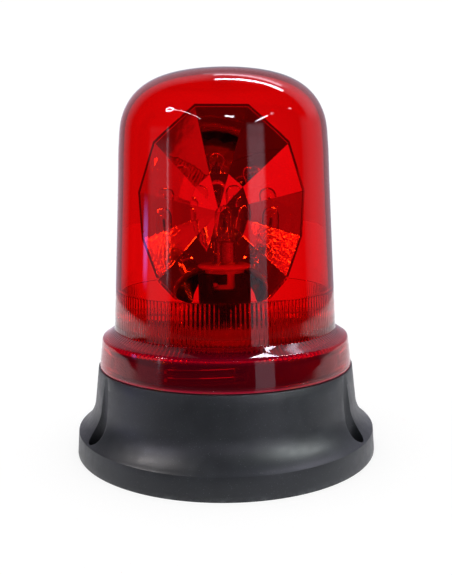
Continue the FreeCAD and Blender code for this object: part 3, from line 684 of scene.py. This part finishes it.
M = {
    "base": base_plastic(),
    "cover": plastic("cover_black", (0.012, 0.012, 0.013), rough=(0.4, 0.55)),
    "rubber": rubber("seal_rubber", (0.014, 0.014, 0.015)),
    "lens_rubber": rubber("lens_seal_rubber", (0.05, 0.05, 0.052)),
    "screw": metal("screw_steel", (0.62, 0.62, 0.6), (0.22, 0.38), (1, 1, 1), 2600.0),
    "terminal": plastic("terminal_white", (0.72, 0.71, 0.67)),
    "zinc": metal("plate_zinc", (0.66, 0.67, 0.66), (0.3, 0.5), (1, 1, 1), 900.0, stain=(0.52, 0.54, 0.55)),
    "column": plastic("column_black", (0.012, 0.011, 0.011), rough=(0.25, 0.4)),
    "board": plastic("contact_board", (0.11, 0.05, 0.022), rough=(0.4, 0.55)),
    "brass": metal("contact_brass", (0.78, 0.58, 0.28), (0.2, 0.36)),
    "spring": metal("spring_steel", (0.55, 0.55, 0.55), (0.2, 0.3), (1, 1, 1), 3000.0),
    "holder": plastic("holder_white", (0.86, 0.85, 0.83), rough=(0.12, 0.22)),
    "cap": metal("bulb_cap_metal", (0.74, 0.72, 0.66), (0.16, 0.32), (1, 1, 6), 1600.0),
    "glass": glass_material("bulb_glass"),
    "filament": metal("filament_metal", (0.5, 0.49, 0.47), (0.25, 0.4), (1, 1, 1), 9000.0),
    "turntable": plastic("turntable_grey", (0.60, 0.60, 0.58), rough=(0.35, 0.5)),
    "bush": metal("bush_brass", (0.75, 0.55, 0.27), (0.2, 0.35)),
    "washer": plastic("washer_white", (0.75, 0.75, 0.72)),
    "gear": plastic("gear_white", (0.74, 0.73, 0.69), rough=(0.3, 0.45)),
    "pinion": plastic("pinion_white", (0.74, 0.73, 0.69), rough=(0.3, 0.45)),
    "can": metal("motor_can_steel", (0.68, 0.67, 0.65), (0.25, 0.42), (1, 1, 0.2), 1500.0),
    "motorcap": plastic("motor_cap_black", (0.014, 0.014, 0.015)),
    "arm": metal("armature_steel", (0.4, 0.39, 0.38), (0.35, 0.5)),
    "copper": metal("commutator_copper", (0.8, 0.44, 0.28), (0.2, 0.35)),
    "magnet": plastic("magnet_grey", (0.06, 0.06, 0.062)),
    "lead": plastic("lead_insulation", (0.5, 0.03, 0.03), rough=(0.3, 0.45)),
    "lead_dark": plastic("lead_insulation_dark", (0.02, 0.02, 0.022), rough=(0.3, 0.45)),
}
for node, key in {
    "base_housing": "base", "mounting_gasket": "rubber", "bottom_cover": "cover", "cable_grommet": "rubber", "bottom_cover_screws": "screw",
    "chassis_plate": "zinc", "chassis_screws": "screw", "lamp_column": "column", "column_screws": "screw", "contact_disc": "board",
    "contact_rivets": "brass", "lamp_spring": "spring", "lamp_holder": "holder", "bayonet_pins": "screw", "holder_contacts": "brass",
    "bulb_cap": "cap", "bulb_glass": "glass", "bulb_filament": "filament", "filament_supports": "filament", "thrust_washer": "washer",
    "turntable_bush": "bush", "turntable_disc": "turntable", "ring_gear": "gear", "retaining_ring": "spring", "drive_pinion": "pinion",
    "motor_can": "can", "motor_end_cap": "motorcap", "motor_terminals": "brass", "motor_shaft": "spring", "motor_armature": "arm",
    "motor_commutator": "copper", "motor_magnets": "magnet", "motor_screws": "screw", "terminal_block": "terminal", "terminal_screws": "screw",
    "motor_leads": "lead", "lamp_leads": "lead_dark", "reflector_screws": "screw", "lens_seal": "lens_rubber",
}.items():
    assign(node, M[key])


bulb = build_bulb()
bulb.data.materials.append(M["glass"])
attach(bulb, "lamp_carrier")
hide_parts("bulb_glass")


shell = refine("base_shell", "base_housing", 0.00035, 2, 0.05, 32.0, 28.0)
shell.data.materials.append(M["base"])
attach(shell, "base")
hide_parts("base_housing")


# ------------------------------------------------------------------ camera
PITCH, ROLL, YAW, FOCAL = math.radians(7.79), math.radians(-0.54), math.radians(0.107), 688.3
r0 = Vector((math.cos(YAW), -math.sin(YAW), 0))
fh = Vector((math.sin(YAW), math.cos(YAW), 0))
fwd = fh * math.cos(PITCH) - Vector((0, 0, 1)) * math.sin(PITCH)
up0 = fh * math.sin(PITCH) + Vector((0, 0, 1)) * math.cos(PITCH)
right = r0 * math.cos(ROLL) + up0 * math.sin(ROLL)
up = up0 * math.cos(ROLL) - r0 * math.sin(ROLL)
cam_data = bpy.data.cameras.new("camera")
cam_data.sensor_width = 36.0
cam_data.lens = FOCAL / 575.0 * 36.0
cam_data.clip_start = 0.01
cam_data.clip_end = 50.0
cam = link(bpy.data.objects.new("camera", cam_data))
cam.matrix_world = Matrix(((right.x, up.x, -fwd.x, 0.0), (right.y, up.y, -fwd.y, -0.3432), (right.z, up.z, -fwd.z, 0.1261), (0, 0, 0, 1)))
scene.camera = cam


# ------------------------------------------------------------------ stage and light
def area(name, pos, target, size, power, colour=(1, 1, 1), spread=math.pi):
    d = bpy.data.lights.new(name, "AREA")
    d.shape = "RECTANGLE"
    d.size, d.size_y = size
    d.energy = power
    d.color = colour
    d.spread = spread
    o = link(bpy.data.objects.new(name, d))
    o.location = pos
    v = (Vector(target) - Vector(pos)).normalized()
    o.rotation_mode = "QUATERNION"
    o.rotation_quaternion = v.to_track_quat("-Z", "Y")
    return o


def panel(name, az, el, dist, size, luminance, colour=(1, 1, 1), target=(0, 0, 0.11)):
    """An area light seen from the object at azimuth az (0 is towards the camera, 90 to the camera's right) and elevation el."""
    a, e = math.radians(az), math.radians(el)
    t = Vector(target)
    pos = t + Vector((math.sin(a) * math.cos(e), -math.cos(a) * math.cos(e), math.sin(e))) * dist
    power = luminance * math.pi * size[0] * size[1]
    return area(name, pos, t, size, power, colour)


TABLE_R = 0.62


def floor():
    n = 48
    verts, faces = [], []
    R = 3.0
    rr = [0.0, 0.05, 0.1, 0.2, 0.4, 0.8, 1.6, R]
    verts.append((0, 0, 0))
    for r in rr[1:]:
        for k in range(n):
            verts.append((r * math.cos(2 * math.pi * k / n), r * math.sin(2 * math.pi * k / n), 0))
    for k in range(n):
        faces.append((0, 1 + k, 1 + (k + 1) % n))
    for j in range(len(rr) - 2):
        for k in range(n):
            a, b = 1 + j * n + k, 1 + j * n + (k + 1) % n
            faces.append((a, a + n, b + n, b))
    o = mesh_object("floor", verts, faces)
    m, nt, out = tree("floor_white")
    p = add(nt, "ShaderNodeBsdfPrincipled")
    c = coords(nt)
    f = noise(nt, c, 3.0, 4.0)
    nt.links.new(ramp(nt, f, [(0.3, (0.29, 0.29, 0.29)), (0.7, (0.31, 0.31, 0.31))]), p.inputs["Base Color"])
    g = noise(nt, c, 40.0, 3.0)
    nt.links.new(remap(nt, g, 0.75, 0.9), p.inputs["Roughness"])
    p.inputs["Specular IOR Level"].default_value = 0.0
    p.inputs["Emission Color"].default_value = (1, 1, 1, 1)
    p.inputs["Emission Strength"].default_value = 0.74
    lp = add(nt, "ShaderNodeLightPath")
    clear = add(nt, "ShaderNodeBsdfTransparent")
    mix = add(nt, "ShaderNodeMixShader")
    less = add(nt, "ShaderNodeMath", _operation="GREATER_THAN")
    nt.links.new(lp.outputs["Glossy Depth"], less.inputs[0])
    less.inputs[1].default_value = 0.5
    # the table that the outer skins reflect is finite; what the mirror sees past it comes from the studio
    deep = add(nt, "ShaderNodeMath", _operation="GREATER_THAN")
    nt.links.new(lp.outputs["Transmission Depth"], deep.inputs[0])
    deep.inputs[1].default_value = 2.5
    ln = add(nt, "ShaderNodeVectorMath", _operation="LENGTH")
    nt.links.new(c, ln.inputs[0])
    far = remap(nt, ln.outputs["Value"], 0.0, 1.0, TABLE_R - 0.03, TABLE_R + 0.03)
    either = add(nt, "ShaderNodeMath", _operation="MAXIMUM")
    nt.links.new(deep.outputs[0], either.inputs[0])
    nt.links.new(far, either.inputs[1])
    # in front the table falls into the dark side of the room
    fr = nt.nodes.new("ShaderNodeSeparateXYZ")
    nt.links.new(c, fr.inputs[0])
    dim = remap(nt, fr.outputs["Y"], 0.0, 0.93, -0.05, -0.15)
    e2 = add(nt, "ShaderNodeMath", _operation="MAXIMUM")
    nt.links.new(either.outputs[0], e2.inputs[0])
    nt.links.new(dim, e2.inputs[1])
    either = e2
    both = add(nt, "ShaderNodeMath", _operation="MULTIPLY")
    nt.links.new(less.outputs[0], both.inputs[0])
    nt.links.new(either.outputs[0], both.inputs[1])
    nt.links.new(both.outputs[0], mix.inputs[0])
    nt.links.new(p.outputs[0], mix.inputs[1])
    nt.links.new(clear.outputs[0], mix.inputs[2])
    nt.links.new(mix.outputs[0], out.inputs["Surface"])
    o.data.materials.append(m)
    return o


floor()

# two soft boxes that only the base receives, high on the left and on the right
base_group = bpy.data.collections.new("base_pieces")
base_group.objects.link(shell)
for nm, az_, el_, size_, lum_, col_ in (("soft_left", -76.0, 46.0, (0.26, 0.045), 43.0, (1.0, 0.94, 0.93)), ("soft_right", 62.0, 31.5, (0.50, 0.05), 38.0, (0.93, 1.0, 0.985))):
    q = panel(nm, az_, el_, 0.7, size_, lum_, col_, (0, -0.05, 0.014))
    q.light_linking.receiver_collection = base_group

inner_group = bpy.data.collections.new("inner_pieces")
for nm in ("lamp_holder", "turntable_disc", "ring_gear", "bulb_cap", "chassis_plate", "reflector_screws"):
    inner_group.objects.link(nodes[nm])
q = panel("soft_front", 6.0, 24.0, 0.8, (0.45, 0.30), 3.2, (1, 1, 1), (0, 0, 0.09))
q.light_linking.receiver_collection = inner_group

w = bpy.data.worlds.new("studio")
scene.world = w
w.use_nodes = True
w.cycles.sampling_method = "NONE"
nt = w.node_tree
nt.nodes.clear()


def math_node(op, a, b=None):
    n = nt.nodes.new("ShaderNodeMath")
    n.operation = op
    for i, v in enumerate((a, b)):
        if v is None:
            continue
        if isinstance(v, (int, float)):
            n.inputs[i].default_value = v
        else:
            nt.links.new(v, n.inputs[i])
    return n.outputs[0]


def step(x, edge, soft, rising=True):
    n = nt.nodes.new("ShaderNodeMapRange")
    n.interpolation_type = "SMOOTHSTEP"
    n.inputs["From Min"].default_value = edge - soft
    n.inputs["From Max"].default_value = edge + soft
    n.inputs["To Min"].default_value = 0.0 if rising else 1.0
    n.inputs["To Max"].default_value = 1.0 if rising else 0.0
    nt.links.new(x, n.inputs["Value"])
    return n.outputs["Result"]


wo = nt.nodes.new("ShaderNodeOutputWorld")
tc = nt.nodes.new("ShaderNodeTexCoord")
sep = nt.nodes.new("ShaderNodeSeparateXYZ")
nt.links.new(tc.outputs["Generated"], sep.inputs[0])
# azimuth 0 is the studio's front and 90 its right, both in degrees
AZ = math_node("MULTIPLY", math_node("ARCTAN2", sep.outputs["X"], math_node("MULTIPLY", sep.outputs["Y"], -1.0)), 180 / math.pi)
EL = math_node("MULTIPLY", math_node("ARCSINE", sep.outputs["Z"]), 180 / math.pi)

DIRV = tc.outputs["Generated"]


def vec(az, el):
    a, e = math.radians(az), math.radians(el)
    return Vector((math.sin(a) * math.cos(e), -math.cos(a) * math.cos(e), math.sin(e)))


def vmath(op, a, b=None, out=0):
    n = nt.nodes.new("ShaderNodeVectorMath")
    n.operation = op
    for i, v in enumerate((a, b)):
        if v is None:
            continue
        if isinstance(v, (tuple, list, Vector)):
            n.inputs[i].default_value = tuple(v)
        elif isinstance(v, (int, float)):
            n.inputs["Scale"].default_value = v
        else:
            nt.links.new(v, n.inputs[i] if op != "SCALE" or i == 0 else n.inputs["Scale"])
    return n.outputs[out]


def box_mask(az, el, soft):
    return math_node("MULTIPLY", math_node("MULTIPLY", step(AZ, az[0], soft), step(AZ, az[1], soft, False)),
                     math_node("MULTIPLY", step(EL, el[0], soft), step(EL, el[1], soft, False)))


def tube_mask(p, q, half, soft):
    """A straight lamp between two directions; half is its half width and soft its edge, in degrees."""
    A, B = vec(*p), vec(*q)
    AB = B - A
    rel = vmath("SUBTRACT", DIRV, A)
    t = math_node("MULTIPLY", vmath("DOT_PRODUCT", rel, AB, 1), 1.0 / max(AB.length_squared, 1e-9))
    n = t.node
    n.use_clamp = True
    near = vmath("SCALE", AB, None)
    near.node.inputs["Scale"].default_value = 1.0
    nt.links.new(t, near.node.inputs["Scale"])
    d = vmath("LENGTH", vmath("SUBTRACT", rel, near), None, 1)
    deg = math_node("MULTIPLY", d, 180 / math.pi)
    return step(deg, half, soft, False)


def arc_mask(p, q, half, soft):
    """A long straight lamp: the great circle between two directions, with round-off at its ends."""
    A, B = vec(*p), vec(*q)
    n = A.cross(B).normalized()
    off = math_node("MULTIPLY", math_node("ABSOLUTE", vmath("DOT_PRODUCT", DIRV, n, 1)), 180 / math.pi)
    m = step(off, half, soft, False)
    for t in (n.cross(A), B.cross(n)):
        m = math_node("MULTIPLY", m, step(vmath("DOT_PRODUCT", DIRV, t, 1), 0.0, 0.02))
    return m


def az_profile(stops):
    """Luminance along the horizon by azimuth."""
    r = nt.nodes.new("ShaderNodeValToRGB")
    x = math_node("ADD", math_node("MULTIPLY", AZ, 1 / 360.0), 0.5)
    nt.links.new(x, r.inputs["Fac"])
    e = r.color_ramp.elements
    while len(e) > 1:
        e.remove(e[-1])
    for i, (az, v) in enumerate(stops):
        q = e[0] if i == 0 else e.new((az + 180) / 360.0)
        q.position = (az + 180) / 360.0
        q.color = (v, v, v, 1)
    return r.outputs["Color"]


def scaled(x, k):
    return math_node("MULTIPLY", x, k)


def top(*xs):
    t = xs[0]
    for x in xs[1:]:
        t = math_node("MAXIMUM", t, x)
    return t


# the studio as the mirror sees it through the lens: azimuth range, elevation range, luminance, edge softness
MIRROR_VIEW = [
    # white sweep behind
    ((128, 181), (-90, 90), 1.05, 6.0),
    ((-181, -128), (-90, 90), 1.05, 6.0),
    # tall window panel to the right of the camera, brighter at its top
    ((19, 43), (-9, 10), 0.42, 0.8),
    ((19, 43), (10, 27), 0.85, 0.8),
    ((43, 57), (-9, 12), 0.70, 1.5),
    # side cards below and above the horizon, and the dimmer wall between them
    ((-24, 62), (-30, -9), 1.15, 2.0),
    ((62, 112), (-32, -9), 0.68, 2.0),
    ((-76, -50), (-32, -9), 1.18, 2.0),
    ((65, 95), (8, 25), 0.84, 2.0),
    ((-75, -49), (8, 26), 0.80, 2.0),
    ((58, 100), (-9, 9), 0.50, 1.5),
    ((-78, -50), (-9, 9), 0.45, 1.5),
    # table edge to the right
    ((64, 128), (-62, -32), 0.70, 2.0),
    ((52, 66), (-50, -34), 0.20, 2.0),
    # dim grey wall on the right
    ((100, 128), (-9, 60), 0.28, 4.0),
]
inside = top(*[scaled(box_mask(a_, e_, s_), l_) for a_, e_, l_, s_ in MIRROR_VIEW])
inside = math_node("MAXIMUM", inside, 0.11)
glint = top(tube_mask((67.9, 20.4), (78.9, 26.8), 1.7, 0.4), tube_mask((-60.1, 30.0), (-48.9, 23.4), 1.7, 0.4), tube_mask((-4.0, -41.0), (2.0, -41.0), 1.2, 0.3))

# the studio as the outer skins see it: a dark room in front, grey walls behind, two overhead tubes and a few small lamps
LOW = az_profile([(-180, 0.75), (-168, 0.80), (-156, 0.55), (-138, 0.36), (-126, 0.16), (-117, 0.006), (90, 0.006), (94, 0.14), (100, 0.22), (126, 0.32),
                  (138, 0.41), (162, 0.45), (174, 0.60), (180, 0.75)])
MID = az_profile([(-180, 0.50), (-150, 0.53), (-138, 0.40), (-126, 0.20), (-115, 0.006), (104, 0.006), (108, 0.32), (114, 0.52), (126, 0.60), (138, 0.55), (162, 0.47), (180, 0.48)])
up_ = step(EL, 17.5, 5.0)
walls = math_node("ADD", math_node("MULTIPLY", LOW, math_node("SUBTRACT", 1.0, up_)), math_node("MULTIPLY", MID, up_))
walls = math_node("MULTIPLY", walls, math_node("SUBTRACT", 1.0, scaled(step(EL, 72.0, 10.0), 0.9)))
lamps = [
    # overhead tube, nearly straight above and running down to the right
    scaled(arc_mask((-160, 78.5), (128, 69.5), 2.3, 1.0), 24.0),
    scaled(arc_mask((128, 69.5), (108, 49.5), 2.3, 1.0), 24.0),
    # second, softer tube further back, and its glow on the ceiling
    scaled(arc_mask((-172, 61.5), (125, 50.5), 2.8, 2.4), 4.6),
    scaled(arc_mask((-166, 56.0), (126, 46.0), 5.0, 12.0), 1.35),
    # tall window panel on the right and its narrow neighbour on the left
    scaled(box_mask((25.5, 43.0), (-12, 15), 0.7), 0.85),
    scaled(box_mask((25.5, 43.0), (2, 15), 2.5), 1.2),
    scaled(box_mask((25.5, 43.0), (-60, -12), 0.7), 0.55),
    scaled(box_mask((-84, -57), (-14, 11), 4.0), 0.30),
    scaled(arc_mask((-60.6, 12.5), (-59.7, -2.5), 1.2, 0.9), 1.7),
    # small lamps and their stands in front
    scaled(tube_mask((-60.0, 32.2), (-47.0, 30.2), 0.5, 0.4), 26.0),
    scaled(tube_mask((-46.0, 29.8), (-36.0, 26.4), 0.45, 0.4), 20.0),
    scaled(tube_mask((-34.0, 25.5), (-24.4, 20.8), 0.42, 0.4), 18.0),
    scaled(tube_mask((3.5, 23.4), (10.8, 22.6), 0.95, 0.5), 40.0),
    scaled(tube_mask((36.0, 17.6), (49.0, 22.4), 0.75, 0.5), 34.0),
    scaled(tube_mask((55.0, 24.8), (86.0, 29.8), 0.6, 0.5), 20.0),
]
ring_o = tube_mask((-67.0, 32.0), (-64.0, 32.0), 3.3, 0.5)
ring_i = tube_mask((-67.0, 32.0), (-64.0, 32.0), 1.7, 0.5)
lamps.append(scaled(math_node("SUBTRACT", ring_o, scaled(ring_i, 0.96)), 34.0))
outside = math_node("ADD", top(walls, *lamps), 0.004)
skin = math_node("ADD", scaled(walls, 0.6), 0.004)
violet = box_mask((-91.0, -85.5), (-2.6, 2.6), 1.6)

lp = nt.nodes.new("ShaderNodeLightPath")
through = step(lp.outputs["Transmission Depth"], 2.5, 0.1)
sparks = top(*[tube_mask((a_, e_), (a_ + 1.5, e_ - 0.6), 0.8, 0.4) for a_, e_ in ((73, 10), (85, 18), (75, 21), (-55, 11), (-68, 19), (-57, 22))])

first = step(lp.outputs["Transmission Depth"], 0.5, 0.1, False)
middle = math_node("SUBTRACT", math_node("SUBTRACT", 1.0, through), first)
seen = math_node("ADD", math_node("ADD", math_node("MULTIPLY", inside, through), math_node("MULTIPLY", outside, first)), math_node("MULTIPLY", skin, middle))
white = vmath("SCALE", (1.0, 0.97, 1.16), None)
nt.links.new(seen, white.node.inputs["Scale"])
warm = vmath("SCALE", (60.0, 480.0, 20.0), None)
nt.links.new(math_node("MULTIPLY", glint, through), warm.node.inputs["Scale"])
amber = vmath("SCALE", (10.0, 52.0, 2.5), None)
nt.links.new(math_node("MULTIPLY", sparks, through), amber.node.inputs["Scale"])
tint = vmath("SCALE", (1.5, 1.3, 5.5), None)
nt.links.new(math_node("MULTIPLY", violet, first), tint.node.inputs["Scale"])
bg = nt.nodes.new("ShaderNodeBackground")
nt.links.new(vmath("ADD", vmath("ADD", white, tint), vmath("ADD", warm, amber)), bg.inputs["Color"])
bg.inputs["Strength"].default_value = 1.0
bgc = nt.nodes.new("ShaderNodeBackground")
bgc.inputs["Color"].default_value = (1, 1, 1, 1)
# white sweep behind, a little dimmer where it is seen through the lens
entered = step(lp.outputs["Transmission Depth"], 0.5, 0.1)
nt.links.new(math_node("SUBTRACT", 1.03, scaled(entered, 0.20)), bgc.inputs["Strength"])
mixw = nt.nodes.new("ShaderNodeMixShader")
nt.links.new(step(lp.outputs["Glossy Depth"], 0.5, 0.1), mixw.inputs[0])
nt.links.new(bgc.outputs[0], mixw.inputs[1])
nt.links.new(bg.outputs[0], mixw.inputs[2])
nt.links.new(mixw.outputs[0], wo.inputs["Surface"])

scene.view_settings.view_transform = "Standard"
scene.view_settings.look = "None"
scene.cycles.sample_clamp_indirect = 80.0
scene.cycles.max_bounces = 24
scene.cycles.transmission_bounces = 24
scene.cycles.glossy_bounces = 12
scene.cycles.diffuse_bounces = 4
scene.cycles.transparent_max_bounces = 32
scene.cycles.caustics_reflective = True
scene.cycles.caustics_refractive = True
